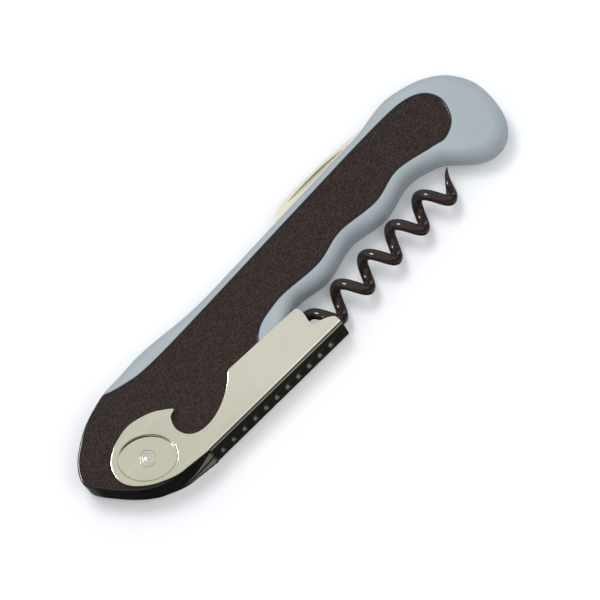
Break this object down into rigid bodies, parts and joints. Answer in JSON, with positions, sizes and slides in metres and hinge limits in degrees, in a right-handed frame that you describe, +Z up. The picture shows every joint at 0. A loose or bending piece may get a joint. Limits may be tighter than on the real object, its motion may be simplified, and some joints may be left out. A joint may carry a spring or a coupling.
{
  "type": "waiters corkscrew",
  "caption": "Folding waiter's corkscrew: lever with bottle opener, pivoting wire worm and foil knife in a soft-grip handle with a hooked head.",
  "frame": {"origin": "centre of the closed tool's outline, on the plane that it lies on", "axes": "+X along the handle towards the hooked head, +Y from the belly to the spine, +Z up through the handle's thickness"},
  "size_m": [0.1206, 0.0296, 0.0109],
  "materials": {
    "black_shell": "gloss black moulding",
    "speckled_inlay": "matte dark brown with a fine speckle",
    "soft_grip": "matte blue-grey soft rubber",
    "frame_steel": "satin steel",
    "polished_steel": "mirror-polished stainless steel",
    "coated_wire": "gloss dark brown non-stick coating",
    "blade_steel": "finely ground stainless steel",
    "washer_bronze": "dull bronze"
  },
  "bodies": {
    "handle": {"front_shell": "black_shell", "back_shell": "black_shell", "front_inlay": "speckled_inlay", "back_inlay": "speckled_inlay", "grip": "soft_grip", "front_liner": "frame_steel", "back_liner": "frame_steel", "backspring": "frame_steel", "tail_spacer": "black_shell", "head_spacer": "black_shell", "frame_rivets": "frame_steel", "lever_sleeve": "polished_steel", "lever_rivet": "polished_steel", "worm_pin": "frame_steel", "knife_pin": "frame_steel", "knife_washers": "washer_bronze"},
    "lever": {"lever": "polished_steel"},
    "worm": {"worm": "coated_wire", "worm_sleeve": "frame_steel"},
    "knife": {"knife_blade": "blade_steel"}
  },
  "joints": [
    {"name": "lever_swing", "type": "hinge", "parent": "handle", "child": "lever", "pos_m": [-0.04685, -0.00382, 0.00545], "axis": [0, 0, 1], "range_deg": [-150, 0]},
    {"name": "worm_swing", "type": "hinge", "parent": "handle", "child": "worm", "pos_m": [-0.00835, -0.00382, 0.00545], "axis": [0, 0, 1], "range_deg": [-90, 0]},
    {"name": "knife_swing", "type": "hinge", "parent": "handle", "child": "knife", "pos_m": [0.04695, 0.00618, 0.00545], "axis": [0, 0, 1], "range_deg": [-170, 0]}
  ],
  "couplings": [
    {"joint": "worm_swing", "follows": "lever_swing", "ratio": 0.6}
  ]
}
